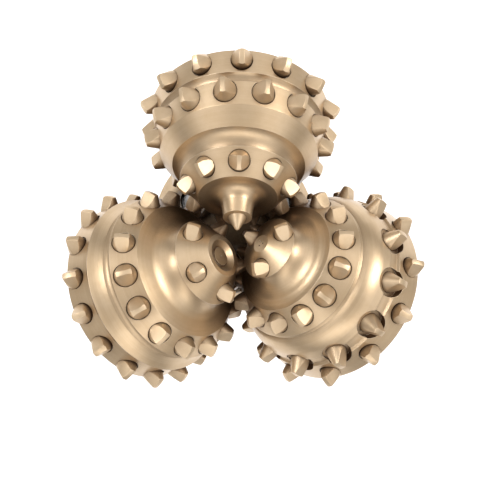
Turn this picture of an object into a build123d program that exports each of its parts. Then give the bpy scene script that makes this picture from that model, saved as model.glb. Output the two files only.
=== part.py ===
"""Tricone rotary drill bit, 12 1/4 in (311.15 mm) gauge, with chisel inserts and a 6 5/8 REG pin.

Millimetres. The origin is the centre of the pin's end face. +Z runs up the bit's axis to the
cutting face, so the bit stands on its pin. Leg 1 and its cone lie on +Y, and the other two
follow anticlockwise, seen from above, at 120 degrees.

Two working frames are used before a piece is moved to its place:
  leg frame      X points radially out at the leg, Z up the bit's axis
  journal frame  X runs out along the journal's axis from the point nearest the bit's axis,
                 Y points to the cutting face, and the cone turns about X
A profile in the journal frame is written as (s, r): the distance along X and the radius.
"""
from build123d import *
from math import acos, atan2, ceil, cos, degrees, hypot, pi, radians, sin, sqrt, tan
import os

# ---- the bit as a whole
BIT_DIAMETER = 311.15
LEG_COUNT = 3
FIRST_LEG_AZIMUTH = 90.0
JOURNAL_ANGLE = 33.0          # of the journal's axis from level
JOURNAL_OFFSET = 5.25         # of the journal's axis from the bit's axis, for a scraping cut
AXES_HEIGHT = 385.0           # where the journals' axes pass the bit's axis, above the pin's end
LEG_CLEARANCE = 3.8           # of the leg's back inside the gauge, on the radius

# ---- the pin and the shank
PIN_LENGTH = 127.0
PIN_BASE_DIAMETER = 152.2
PIN_TAPER = 1.0 / 6.0         # on the diameter
PIN_RELIEF_DIAMETER = 147.0
PIN_RELIEF_LENGTH = 12.7
PIN_END_CHAMFER = 4.0
PIN_BORE_DIAMETER = 88.9
SHOULDER_DIAMETER = 186.1
SHOULDER_BEVEL = 5.5
SHANK_DIAMETER = 197.0
SHANK_LENGTH = 46.0
PLENUM_HEIGHT = 40.0          # of the bore's straight part above the shoulder
PLENUM_ROOF = 26.0
DOME_RADIUS = 70.0
DOME_HEIGHT = 226.0
SEAM_ANGLE = 82.0             # azimuth of the weld between a leg and the next one

# ---- the leg's arm
SHIRTTAIL_RADIUS = 62.0       # about the journal's axis
ARM_FOOT_DROP = 150.0         # from the journal's axis down to the arm's foot, in the back face
ARM_TOP = 342.0
ARM_EDGE_FILLET = 9.0
ARM_SHOULDER_HEIGHT = 172.0   # where the arm starts to spread from the shank
ARM_SHOULDER_TOP = 246.0      # where it reaches the leg's back
BACK_FACE = 147.0             # s of the leg's machined face behind the cone

# ---- the journal and its bearing
SEAL_BOSS_RADIUS = 41.5
SEAL_BOSS_END = 135.0
JOURNAL_RADIUS = 38.0
JOURNAL_END = 85.5
PILOT_RADIUS = 20.0
PILOT_END = 64.0
RUNNING_CLEARANCE = 0.08
ROLLER_RADIUS = 5.55
ROLLER_COUNT = 22
ROLLER_LENGTH = 27.0
ROLLER_END_PLAY = 0.4
ROLLER_RACE_START = 106.5
BALL_RADIUS = 7.95
BALL_COUNT = 14
BALL_CENTRE = 97.0
PILOT_BUSHING_WALL = 3.5
THRUST_WASHER_THICKNESS = 2.3
THRUST_BUTTON_THICKNESS = 4.0
SEAL_GLAND_WIDTH = 7.6
SEAL_LIP = 1.2
SEAL_THICKNESS = 6.0
SEAL_MOUTH_GAP = 1.0
SEAL_SLACK = 0.2
SEAL_CORNER = 1.2

# ---- the cone's back
CONE_BACK = 145.0
CONE_BACK_RADIUS = 58.5
HEEL_ROW_SHARE = 0.6          # of the way down the heel, where its flat inserts sit

# ---- inserts
CHISEL_TOP_SHARE = 0.66       # of the insert's radius, at the crest's ends
CHISEL_CREST_WIDTH = 3.2
CHISEL_FLAT_START = 1.2       # above the seat
CHISEL_CROWN = 0.9
CHISEL_EDGE_FILLET = 0.7
INSERT_GRIP = 16.0
INSERT_FOOT_CHAMFER = 1.2
MIDDLE_INSERT_DIAMETER = 19.0
GAUGE_INSERT_DIAMETER = 18.0
NOSE_INSERT_DIAMETER = 17.4
MIDDLE_INSERT_PROJECTION = 11.0
NOSE_INSERT_PROJECTION = 10.0
APEX_INSERT_DIAMETER = 15.0
APEX_INSERT_PROJECTION = 10.0
APEX_TIP_RADIUS = 1.6
APEX_INSERT_CONE = 1          # only this cone reaches the bit's centre with a point
TRIMMER_INSERT_DIAMETER = 16.0
TRIMMER_INSERT_PROJECTION = 10.0
HEEL_INSERT_DIAMETER = 10.0
HEEL_INSERT_GRIP = 7.0
HEEL_INSERT_PROJECTION = 0.8
SPOTFACE_WIDTH = 1.6          # of the ring machined flat round each insert
SPOTFACE_DEPTH = 0.9
HOLE_REACH = 9.0              # of a hole's cutter above the insert's seat

# ---- ball plug, lubrication and nozzles
BALL_HOLE_RADIUS = 8.6
BALL_HOLE_EXIT = 284.0        # height of its mouth on the leg's back
PLUG_CLEARANCE = 0.1
PLUG_RECESS = 2.0
RESERVOIR_RADIUS = 22.0
RESERVOIR_SPOTFACE_RADIUS = 28.0
RESERVOIR_SPOTFACE_DEPTH = 3.0
RESERVOIR_RISE = 6.0          # of its centre up the arm's shoulder from the middle
CAP_THICKNESS = 5.0
CAP_RECESS = 4.5
CAP_VENT_RADIUS = 2.0
CUP_WALL = 1.3
CUP_LENGTH = 27.0
DIAPHRAGM_WALL = 2.2
SNAP_RING_SECTION = 1.5
SNAP_RING_GAP = 30.0          # degrees
LUBE_HOLE_RADIUS = 3.0
NOZZLE_AZIMUTH = 61.0
NOZZLE_RADIUS_OUT = 58.0      # of its mouth from the bit's axis
NOZZLE_MOUTH_HEIGHT = 230.0
NOZZLE_TILT = 16.0            # of its jet outwards from the bit's axis
NOZZLE_BODY_RADIUS = 14.0
NOZZLE_BODY_LENGTH = 26.0
NOZZLE_THROAT_RADIUS = 5.6
NOZZLE_INLET_RADIUS = 10.0
NOZZLE_RECESS = 4.5
NOZZLE_CLEARANCE = 0.1
NOZZLE_BOSS_RADIUS = 20.5
NOZZLE_BOSS_LENGTH = 55.0
NOZZLE_SEAL_RADIUS = 1.6
WATERWAY_RADIUS = 10.0
WATERWAY_LENGTH = 100.0

# ---- wear buttons in the shirttail
BUTTON_RADIUS = 5.0
BUTTON_DEPTH = 7.0
BUTTON_ARC_HALF_WIDTH = 42.0
BUTTON_ARC_RISE = 37.0        # above the height where the journal's axis meets the leg's back
BUTTON_PROUD = 0.4
BUTTON_ANGLES = (-84, -56, -28, 0, 28, 56, 84)

BIT_RADIUS = BIT_DIAMETER / 2
LEG_BACK_RADIUS = BIT_RADIUS - LEG_CLEARANCE
SHANK_TOP = PIN_LENGTH + SHANK_LENGTH
ROLLER_PITCH_RADIUS = JOURNAL_RADIUS + RUNNING_CLEARANCE + ROLLER_RADIUS
RACE_RADIUS = ROLLER_PITCH_RADIUS + ROLLER_RADIUS + RUNNING_CLEARANCE
RACE_END = ROLLER_RACE_START + ROLLER_LENGTH + 2 * ROLLER_END_PLAY
BALL_GROOVE_RADIUS = BALL_RADIUS + RUNNING_CLEARANCE
BALL_BORE_RADIUS = JOURNAL_RADIUS + 2 * RUNNING_CLEARANCE
BALL_PITCH_RADIUS = JOURNAL_RADIUS + RUNNING_CLEARANCE
PILOT_BORE_RADIUS = PILOT_RADIUS + RUNNING_CLEARANCE + PILOT_BUSHING_WALL
THRUST_FACE = JOURNAL_END - THRUST_WASHER_THICKNESS - RUNNING_CLEARANCE
CAVITY_END = PILOT_END - THRUST_BUTTON_THICKNESS - RUNNING_CLEARANCE
MOUTH_RADIUS = SEAL_BOSS_RADIUS + SEAL_MOUTH_GAP
GLAND_END = CONE_BACK - SEAL_LIP
GLAND_START = GLAND_END - SEAL_GLAND_WIDTH
GLAND_RADIUS = SEAL_BOSS_RADIUS + RUNNING_CLEARANCE + SEAL_THICKNESS

# ---- cone shells, as outlines of (s, r, rise, land) from the nose to the heel's outer edge
# rise bows the stretch that ends there away from the axis (+) or towards it (-)
# land names a stretch that carries a row of inserts
OUTLINE_1 = [
    (21.2, 0.0, 0, ""),
    (21.2, 12.3, 0, ""),
    (33.0, 14.2, 0, ""),
    (41.0, 29.0, -3.6, ""),
    (40.0, 34.8, 0, ""),
    (57.8, 51.8, 0, "nose"),
    (60.6, 46.8, 0, ""),
    (66.5, 53.5, -1.6, ""),
    (75.5, 61.8, 0.5, ""),
    (83.6, 70.8, -0.9, ""),
    (104.0, 76.8, 0, "middle"),
    (105.6, 74.4, 0, ""),
    (110.5, 78.5, -1.0, ""),
    (130.0, 83.0, 0, "gauge"),
]
OUTLINE_2 = [
    (29.1, 0.0, 0, ""),
    (29.1, 8.0, 0, ""),
    (25.3, 14.5, 0, ""),
    (25.3, 19.0, 0, ""),
    (44.5, 38.7, 0.5, "nose"),
    (47.5, 35.5, 0, ""),
    (66.0, 61.3, -4.6, ""),
    (83.0, 76.5, 0, "middle"),
    (86.0, 72.8, 0, ""),
    (93.0, 74.5, -1.3, ""),
    (107.5, 82.2, 0.7, ""),
    (128.5, 84.5, 0, "gauge"),
]
OUTLINE_3 = [
    (19.0, 0.0, 0, ""),
    (19.0, 7.5, 0, ""),
    (28.0, 27.5, 0.6, "nose"),
    (31.5, 25.4, 0, ""),
    (48.3, 49.8, -4.4, ""),
    (67.0, 67.8, 0, "middle"),
    (69.8, 65.9, 0, ""),
    (85.5, 77.3, 1.2, ""),
    (97.0, 82.5, 0, "trimmer"),
    (100.0, 81.4, 0, ""),
    (105.0, 84.5, -0.5, ""),
    (124.5, 89.5, 0, "gauge"),
]

# rows of inserts, as (land, share of the way along it, count, first angle, lean)
# the angle is about the journal's axis from the cutting face, and lean turns the insert to the nose
ROWS_1 = [
    ("nose", 0.52, 9, -2.4, 0),
    ("middle", 0.60, 15, -12.4, 0),
    ("gauge", 0.60, 15, -2.5, 17),
]
ROWS_2 = [
    ("nose", 0.42, 5, -1.0, 0),
    ("middle", 0.50, 15, -2.8, 0),
    ("gauge", 0.60, 17, 8.1, 24),
]
ROWS_3 = [
    ("nose", 0.46, 3, -62.0, 0),
    ("middle", 0.46, 14, 6.5, 0),
    ("trimmer", 0.95, 13, 4.2, -20),
    ("gauge", 0.60, 13, -9.6, 16),
]
INSERT_SIZES = {
    "nose": (NOSE_INSERT_DIAMETER, NOSE_INSERT_PROJECTION),
    "middle": (MIDDLE_INSERT_DIAMETER, MIDDLE_INSERT_PROJECTION),
    "trimmer": (TRIMMER_INSERT_DIAMETER, TRIMMER_INSERT_PROJECTION),
    "gauge": (GAUGE_INSERT_DIAMETER, 0),
}
CONES = ((OUTLINE_1, ROWS_1), (OUTLINE_2, ROWS_2), (OUTLINE_3, ROWS_3))
JOURNAL = Plane(
    origin=(0, JOURNAL_OFFSET, AXES_HEIGHT),
    x_dir=(cos(radians(JOURNAL_ANGLE)), 0, -sin(radians(JOURNAL_ANGLE))),
    z_dir=(0, -1, 0),
).location


def leg_place(index):
    """The leg frame of one leg, in the bit's frame."""
    return Rot(0, 0, FIRST_LEG_AZIMUTH + index * 360 / LEG_COUNT)


def journal_point(s, up):
    """A point in the journal's own upright plane, in the leg frame."""
    tip = radians(JOURNAL_ANGLE)
    return Vector(
        s * cos(tip) + up * sin(tip),
        JOURNAL_OFFSET,
        AXES_HEIGHT - s * sin(tip) + up * cos(tip),
    )


def reach(s, r):
    """The greatest distance from the bit's axis that a point of a turning cone gets to."""
    tip = radians(JOURNAL_ANGLE)
    greatest = 0
    for step in range(-90, 91):
        turn = radians(step)
        out = s * cos(tip) + r * sin(tip) * cos(turn)
        side = JOURNAL_OFFSET + r * sin(turn)
        greatest = max(greatest, hypot(out, side))
    return greatest


def stretch(start, end, rise):
    """A straight edge, or an arc that bows away from the axis by rise."""
    if rise == 0:
        return Line(start, end)
    run = end[0] - start[0]
    climb = end[1] - start[1]
    length = hypot(run, climb)
    middle = (
        (start[0] + end[0]) / 2 - rise * climb / length,
        (start[1] + end[1]) / 2 + rise * run / length,
    )
    return ThreePointArc(start, middle, end)


def turned(points, axis=Axis.X):
    """A solid of revolution from a closed list of corners."""
    return revolve(make_face(Polyline(*points, close=True)), axis)


def corners_at(face, places):
    """The corners of a flat face that lie at the given places."""
    found = []
    for corner in face.vertices():
        for place in places:
            if hypot(corner.X - place[0], corner.Y - place[1]) < 0.01:
                found.append(corner)
    return found


def crown_arc(edge, top, drop):
    """An arc in a profile, from an edge radius up to the axis, which it meets square on."""
    radius = (edge**2 + drop**2) / (2 * drop)
    half = atan2(edge, radius - drop) / 2
    middle = (radius * sin(half), top - radius + radius * cos(half))
    return ThreePointArc((edge, top - drop), middle, (0, top))


def disc(place, radius, start, end):
    """A cylinder on a place's Z axis, from start to end along it."""
    middle = place * Pos(0, 0, (start + end) / 2)
    return middle * Cylinder(radius, abs(end - start))


def chisel(diameter, projection):
    """A chisel insert: its seat is at zero, it points along Z and its crest lies along X."""
    radius = diameter / 2
    crest_end = CHISEL_TOP_SHARE * radius
    shoulder = projection - CHISEL_CROWN
    sides = Polyline(
        (0, projection),
        (0, -INSERT_GRIP),
        (radius - INSERT_FOOT_CHAMFER, -INSERT_GRIP),
        (radius, INSERT_FOOT_CHAMFER - INSERT_GRIP),
        (radius, CHISEL_FLAT_START),
        (crest_end, shoulder),
    )
    crown = crown_arc(crest_end, projection, CHISEL_CROWN)
    face = make_face([*sides.edges(), crown])
    face = fillet(corners_at(face, [(crest_end, shoulder)]), CHISEL_EDGE_FILLET)
    blank = Rot(90, 0, 0) * revolve(face, Axis.Y)
    wide = radius + 2
    half = CHISEL_CREST_WIDTH / 2
    rake = (radius - half) / (projection - CHISEL_FLAT_START)
    over = projection + 0.2
    flat_foot = CHISEL_FLAT_START - (wide - radius) / rake
    wedge = make_face(
        Polyline(
            (-wide, -INSERT_GRIP - 1),
            (wide, -INSERT_GRIP - 1),
            (wide, flat_foot),
            (half, over),
            (-half, over),
            (-wide, flat_foot),
            close=True,
        )
    )
    wedge = fillet(corners_at(wedge, [(half, over), (-half, over)]), CHISEL_EDGE_FILLET)
    slab = extrude(wedge, wide, both=True)
    return blank & (Rot(0, 0, 90) * Rot(90, 0, 0) * slab)


def point_insert(diameter, projection, tip_radius):
    """A conical insert with a round tip, for the very point of a cone."""
    radius = diameter / 2
    drop = tip_radius / 2
    sides = Polyline(
        (0, projection),
        (0, -INSERT_GRIP),
        (radius - INSERT_FOOT_CHAMFER, -INSERT_GRIP),
        (radius, INSERT_FOOT_CHAMFER - INSERT_GRIP),
        (radius, 0.6),
        (tip_radius, projection - drop),
    )
    tip = crown_arc(tip_radius, projection, drop)
    return Rot(90, 0, 0) * revolve(make_face([*sides.edges(), tip]), Axis.Y)


def flat_insert(diameter, projection, grip):
    """A flat-topped insert with a broken edge."""
    body = Pos(0, 0, (projection - grip) / 2) * Cylinder(diameter / 2, projection + grip)
    return chamfer(body.edges().filter_by(GeomType.CIRCLE), 0.5)


def row_place(s, r, pointing, turn):
    """Where an insert sits: its seat in the journal frame, and its direction from the axis."""
    lean = radians(pointing)
    angle = radians(turn)
    return Plane(
        origin=(s, r * cos(angle), r * sin(angle)),
        x_dir=(sin(lean), -cos(lean) * cos(angle), -cos(lean) * sin(angle)),
        z_dir=(cos(lean), sin(lean) * cos(angle), sin(lean) * sin(angle)),
    ).location


def land_seat(outline, land, share, lean):
    """The seat and the direction of a row, from the land that carries it."""
    for start, end in zip(outline[:-1], outline[1:]):
        if end[3] == land:
            run = end[0] - start[0]
            climb = end[1] - start[1]
            s = start[0] + share * run
            r = start[1] + share * climb
            return s, r, degrees(atan2(climb, run)) + 90 + lean
    raise ValueError(land)


def gauge_projection(s, r, pointing):
    """How far a gauge insert stands out, so that its crest's outer end just cuts the full hole."""
    lean = radians(pointing)
    crest_end = CHISEL_TOP_SHARE * GAUGE_INSERT_DIAMETER / 2
    low = 4.0
    high = 20.0
    for _ in range(40):
        projection = (low + high) / 2
        up = projection - CHISEL_CROWN
        corner_s = s + up * cos(lean) + crest_end * sin(lean)
        corner_r = r + up * sin(lean) - crest_end * cos(lean)
        if reach(corner_s, corner_r) < BIT_RADIUS:
            low = projection
        else:
            high = projection
    return projection


def row_pieces(outline, row):
    """A row's inserts, and the cutters for their holes."""
    land, share, count, first, lean = row
    s, r, pointing = land_seat(outline, land, share, lean)
    diameter, projection = INSERT_SIZES[land]
    if land == "gauge":
        projection = gauge_projection(s, r, pointing)
        print("gauge insert projection", round(projection, 2))
    insert = chisel(diameter, projection)
    inserts = []
    cutters = []
    for number in range(count):
        place = row_place(s, r, pointing, first + number * 360 / count)
        inserts.append(place * insert)
        cutters.append(disc(place, diameter / 2, -INSERT_GRIP, HOLE_REACH))
        cutters.append(disc(place, diameter / 2 + SPOTFACE_WIDTH, -SPOTFACE_DEPTH, HOLE_REACH))
    return inserts, cutters


def heel_pieces(outline, rows):
    """The flat inserts that keep the heel from wearing, one between each two gauge inserts."""
    count, first = rows[-1][2:4]
    edge = outline[-1]
    run = CONE_BACK - edge[0]
    climb = CONE_BACK_RADIUS - edge[1]
    s = edge[0] + HEEL_ROW_SHARE * run
    r = edge[1] + HEEL_ROW_SHARE * climb
    pointing = degrees(atan2(climb, run)) + 90
    insert = flat_insert(HEEL_INSERT_DIAMETER, HEEL_INSERT_PROJECTION, HEEL_INSERT_GRIP)
    inserts = []
    cutters = []
    for number in range(count):
        place = row_place(s, r, pointing, first + (number + 0.5) * 360 / count)
        inserts.append(place * insert)
        cutters.append(disc(place, HEEL_INSERT_DIAMETER / 2, -HEEL_INSERT_GRIP, HOLE_REACH))
    return inserts, cutters


def cone_blank(outline):
    """A cone's turned shell, with the bore for its bearing and the gland for its seal."""
    edges = []
    for start, end in zip(outline[:-1], outline[1:]):
        edges.append(stretch(start[:2], end[:2], end[2]))
    groove_half = sqrt(BALL_GROOVE_RADIUS**2 - (BALL_BORE_RADIUS - BALL_PITCH_RADIUS) ** 2)
    back = Polyline(
        outline[-1][:2],
        (CONE_BACK, CONE_BACK_RADIUS),
        (CONE_BACK, MOUTH_RADIUS),
        (GLAND_END, MOUTH_RADIUS),
        (GLAND_END, GLAND_RADIUS),
        (GLAND_START, GLAND_RADIUS),
        (GLAND_START, MOUTH_RADIUS),
        (RACE_END, MOUTH_RADIUS),
        (RACE_END, RACE_RADIUS),
        (ROLLER_RACE_START, RACE_RADIUS),
        (ROLLER_RACE_START, BALL_BORE_RADIUS),
        (BALL_CENTRE + groove_half, BALL_BORE_RADIUS),
    )
    groove = ThreePointArc(
        (BALL_CENTRE + groove_half, BALL_BORE_RADIUS),
        (BALL_CENTRE, BALL_PITCH_RADIUS + BALL_GROOVE_RADIUS),
        (BALL_CENTRE - groove_half, BALL_BORE_RADIUS),
    )
    front = Polyline(
        (BALL_CENTRE - groove_half, BALL_BORE_RADIUS),
        (THRUST_FACE, BALL_BORE_RADIUS),
        (THRUST_FACE, PILOT_BORE_RADIUS),
        (CAVITY_END, PILOT_BORE_RADIUS),
        (CAVITY_END, 0),
        outline[0][:2],
    )
    face = make_face([*edges, *back.edges(), groove, *front.edges()])
    return revolve(face, Axis.X)


def journal_pin():
    """The journal that the cone turns on, with its ball race."""
    groove_half = sqrt(BALL_GROOVE_RADIUS**2 - (BALL_PITCH_RADIUS - JOURNAL_RADIUS) ** 2)
    tip = Polyline(
        (BACK_FACE + 4, 0),
        (PILOT_END, 0),
        (PILOT_END, PILOT_RADIUS - 1),
        (PILOT_END + 1, PILOT_RADIUS),
        (JOURNAL_END, PILOT_RADIUS),
        (JOURNAL_END, JOURNAL_RADIUS - 1),
        (JOURNAL_END + 1, JOURNAL_RADIUS),
        (BALL_CENTRE - groove_half, JOURNAL_RADIUS),
    )
    groove = ThreePointArc(
        (BALL_CENTRE - groove_half, JOURNAL_RADIUS),
        (BALL_CENTRE, BALL_PITCH_RADIUS - BALL_GROOVE_RADIUS),
        (BALL_CENTRE + groove_half, JOURNAL_RADIUS),
    )
    root = Polyline(
        (BALL_CENTRE + groove_half, JOURNAL_RADIUS),
        (SEAL_BOSS_END, JOURNAL_RADIUS),
        (SEAL_BOSS_END, SEAL_BOSS_RADIUS - 0.8),
        (SEAL_BOSS_END + 0.8, SEAL_BOSS_RADIUS),
        (BACK_FACE + 4, SEAL_BOSS_RADIUS),
        (BACK_FACE + 4, 0),
    )
    return revolve(make_face([*tip.edges(), groove, *root.edges()]), Axis.X)


def arm():
    """A leg's arm, in the leg frame: it widens from the shank to the shirttail behind the cone."""
    sketch = Circle(SHIRTTAIL_RADIUS) + Pos(-ARM_FOOT_DROP / 2, 0) * Rectangle(
        ARM_FOOT_DROP, 2 * SHIRTTAIL_RADIUS
    )
    back_plane = JOURNAL * Plane(origin=(BACK_FACE, 0, 0), x_dir=(0, 1, 0), z_dir=(1, 0, 0)).location
    slab = extrude(back_plane * sketch, 170, dir=(cos(radians(JOURNAL_ANGLE)), 0, -sin(radians(JOURNAL_ANGLE))))
    limits = turned(
        [
            (0, SHANK_TOP - 30),
            (SHANK_DIAMETER / 2, SHANK_TOP - 30),
            (SHANK_DIAMETER / 2, ARM_SHOULDER_HEIGHT),
            (LEG_BACK_RADIUS, ARM_SHOULDER_TOP),
            (LEG_BACK_RADIUS, ARM_TOP),
            (0, ARM_TOP),
        ],
        Axis.Y,
    )
    body = slab & (Rot(90, 0, 0) * limits)
    outer = []
    for edge in body.edges():
        middle = edge @ 0.5
        side = abs(abs(middle.Y - JOURNAL_OFFSET) - SHIRTTAIL_RADIUS) < 0.01
        if side and middle.Z > ARM_SHOULDER_HEIGHT + 2 and hypot(middle.X, middle.Y) > LEG_BACK_RADIUS - 45:
            if abs(reach_of_face(middle)) < 0.05:
                outer.append(edge)
    if outer:
        body = fillet(outer, ARM_EDGE_FILLET)
    return body


def reach_of_face(point):
    """How far a point is inside the arm's outer surface."""
    out = hypot(point.X, point.Y)
    if point.Z >= ARM_SHOULDER_TOP:
        return LEG_BACK_RADIUS - out
    share = (point.Z - ARM_SHOULDER_HEIGHT) / (ARM_SHOULDER_TOP - ARM_SHOULDER_HEIGHT)
    return SHANK_DIAMETER / 2 + share * (LEG_BACK_RADIUS - SHANK_DIAMETER / 2) - out


def sector():
    """One leg's share of the bit, between its two welds."""
    far = 2 * BIT_DIAMETER
    corners = [(0, 0)]
    for part in range(5):
        angle = radians(SEAM_ANGLE - 360 / LEG_COUNT + part * 90 / LEG_COUNT)
        corners.append((far * cos(angle), far * sin(angle)))
    return extrude(make_face(Polyline(*corners, close=True)), AXES_HEIGHT + BIT_DIAMETER)


def core():
    """The pin, the shoulder, the shank and the dome between the legs, as one turned shape."""
    base = PIN_BASE_DIAMETER / 2
    tip = base - PIN_LENGTH * PIN_TAPER / 2
    relief_top = base - PIN_RELIEF_LENGTH * PIN_TAPER / 2
    bore = PIN_BORE_DIAMETER / 2
    shank = SHANK_DIAMETER / 2
    return Rot(90, 0, 0) * turned(
        [
            (bore + PIN_END_CHAMFER / 2, 0),
            (tip - PIN_END_CHAMFER, 0),
            (tip + PIN_END_CHAMFER * PIN_TAPER / 2, PIN_END_CHAMFER),
            (relief_top, PIN_LENGTH - PIN_RELIEF_LENGTH),
            (PIN_RELIEF_DIAMETER / 2, PIN_LENGTH - PIN_RELIEF_LENGTH + 1),
            (PIN_RELIEF_DIAMETER / 2, PIN_LENGTH),
            (SHOULDER_DIAMETER / 2, PIN_LENGTH),
            (shank, PIN_LENGTH + SHOULDER_BEVEL),
            (shank, SHANK_TOP),
            (DOME_RADIUS + 12, SHANK_TOP + 20),
            (DOME_RADIUS, SHANK_TOP + 32),
            (DOME_RADIUS - 28, DOME_HEIGHT - 5),
            (DOME_RADIUS - 50, DOME_HEIGHT),
            (0, DOME_HEIGHT),
            (0, PIN_LENGTH + PLENUM_HEIGHT + PLENUM_ROOF),
            (bore - 30, PIN_LENGTH + PLENUM_HEIGHT + PLENUM_ROOF - 4),
            (bore - 10, PIN_LENGTH + PLENUM_HEIGHT + PLENUM_ROOF - 14),
            (bore, PIN_LENGTH + PLENUM_HEIGHT),
            (bore, PIN_END_CHAMFER / 2),
        ],
        Axis.Y,
    )


def nozzle_place():
    """The nozzle's mouth in the leg frame, with Z along its jet."""
    azimuth = radians(NOZZLE_AZIMUTH)
    tilt = radians(NOZZLE_TILT)
    return Plane(
        origin=(NOZZLE_RADIUS_OUT * cos(azimuth), NOZZLE_RADIUS_OUT * sin(azimuth), NOZZLE_MOUTH_HEIGHT),
        x_dir=(cos(tilt) * cos(azimuth), cos(tilt) * sin(azimuth), -sin(tilt)),
        z_dir=(sin(tilt) * cos(azimuth), sin(tilt) * sin(azimuth), cos(tilt)),
    ).location


def reservoir_place():
    """The lubricant reservoir's spot face in the leg frame, with Z pointing out of the leg."""
    rise = ARM_SHOULDER_TOP - ARM_SHOULDER_HEIGHT
    run = LEG_BACK_RADIUS - SHANK_DIAMETER / 2
    slope = hypot(rise, run)
    out = Vector(rise / slope, 0, -run / slope)
    middle = Vector(
        (LEG_BACK_RADIUS + SHANK_DIAMETER / 2) / 2,
        JOURNAL_OFFSET,
        (ARM_SHOULDER_TOP + ARM_SHOULDER_HEIGHT) / 2 + RESERVOIR_RISE,
    ) + Vector(RESERVOIR_RISE * run / rise, 0, 0)
    return Plane(origin=middle - out * RESERVOIR_SPOTFACE_DEPTH, x_dir=(0, 1, 0), z_dir=out).location


def between(start, end):
    """A place at start whose Z axis points to end."""
    return Plane(origin=start, x_dir=(0, 1, 0), z_dir=end - start).location


def button_places():
    """The seats of the shirttail's wear buttons, on the leg's back."""
    places = []
    exit_height = AXES_HEIGHT - LEG_BACK_RADIUS * tan(radians(JOURNAL_ANGLE))
    for angle in BUTTON_ANGLES:
        across = JOURNAL_OFFSET + BUTTON_ARC_HALF_WIDTH * sin(radians(angle))
        height = exit_height + BUTTON_ARC_RISE * cos(radians(angle))
        azimuth = degrees(atan2(across, sqrt(LEG_BACK_RADIUS**2 - across**2)))
        places.append(Rot(0, 0, azimuth) * Pos(LEG_BACK_RADIUS, 0, height) * Rot(0, 90, 0))
    return places


def split_ring(place, outer, inner, height):
    """A snap ring of square section with a gap, on a place's Z axis."""
    ring = Circle(outer) - Circle(inner)
    gap = make_face(
        Polyline(
            (0, 0),
            (2 * outer, -2 * outer * tan(radians(SNAP_RING_GAP / 2))),
            (2 * outer, 2 * outer * tan(radians(SNAP_RING_GAP / 2))),
            close=True,
        )
    )
    return place * extrude(ring - gap, height)


BALL_TARGET = journal_point(BALL_CENTRE, -BALL_PITCH_RADIUS)
BALL_EXIT = Vector(sqrt(LEG_BACK_RADIUS**2 - JOURNAL_OFFSET**2), JOURNAL_OFFSET, BALL_HOLE_EXIT)
BALL_HOLE = between(BALL_EXIT, BALL_TARGET)
BALL_HOLE_LENGTH = (BALL_TARGET - BALL_EXIT).length
NOZZLE = nozzle_place()
RESERVOIR = reservoir_place()
RESERVOIR_DEPTH = CAP_RECESS + CAP_THICKNESS + DIAPHRAGM_WALL + CUP_LENGTH + 0.2
NOZZLE_FOOT = NOZZLE_RECESS + SNAP_RING_SECTION + NOZZLE_BODY_LENGTH
NOZZLE_SEAL_DEPTH = NOZZLE_RECESS + SNAP_RING_SECTION + 0.55 * NOZZLE_BODY_LENGTH


def leg():
    """One of the three forged legs, in the leg frame."""
    body = core() + arm()
    body += chamfer(
        disc(NOZZLE, NOZZLE_BOSS_RADIUS, -NOZZLE_BOSS_LENGTH, 0).edges().group_by(Axis.Z)[-1], 2.5
    )
    body = body & sector()
    body += JOURNAL * journal_pin()
    lube_end = BALL_EXIT + (BALL_TARGET - BALL_EXIT) * 0.55
    lube_start = (RESERVOIR * Pos(0, 0, -RESERVOIR_DEPTH)).position
    lube = between(lube_start, lube_end)
    pocket = NOZZLE_BODY_RADIUS + NOZZLE_CLEARANCE
    cuts = [
        disc(NOZZLE, pocket, -NOZZLE_FOOT, 10),
        disc(NOZZLE, WATERWAY_RADIUS, -WATERWAY_LENGTH, -NOZZLE_FOOT + 1),
        disc(
            NOZZLE,
            pocket + 2 * NOZZLE_SEAL_RADIUS,
            -NOZZLE_SEAL_DEPTH - 1.2 * NOZZLE_SEAL_RADIUS,
            -NOZZLE_SEAL_DEPTH + 1.2 * NOZZLE_SEAL_RADIUS,
        ),
        disc(NOZZLE, pocket + 1, -NOZZLE_RECESS - SNAP_RING_SECTION, -NOZZLE_RECESS),
        disc(RESERVOIR, RESERVOIR_SPOTFACE_RADIUS, 0, 25),
        disc(RESERVOIR, RESERVOIR_RADIUS, -RESERVOIR_DEPTH, 1),
        disc(RESERVOIR, RESERVOIR_RADIUS + 1, -CAP_RECESS, -CAP_RECESS + SNAP_RING_SECTION),
        disc(BALL_HOLE, BALL_HOLE_RADIUS, -12, BALL_HOLE_LENGTH - 3),
        disc(lube, LUBE_HOLE_RADIUS, -1, (lube_end - lube_start).length),
    ]
    for place in button_places():
        cuts.append(disc(place, BUTTON_RADIUS, -BUTTON_DEPTH, 5))
    return (body - cuts).solid()


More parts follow.
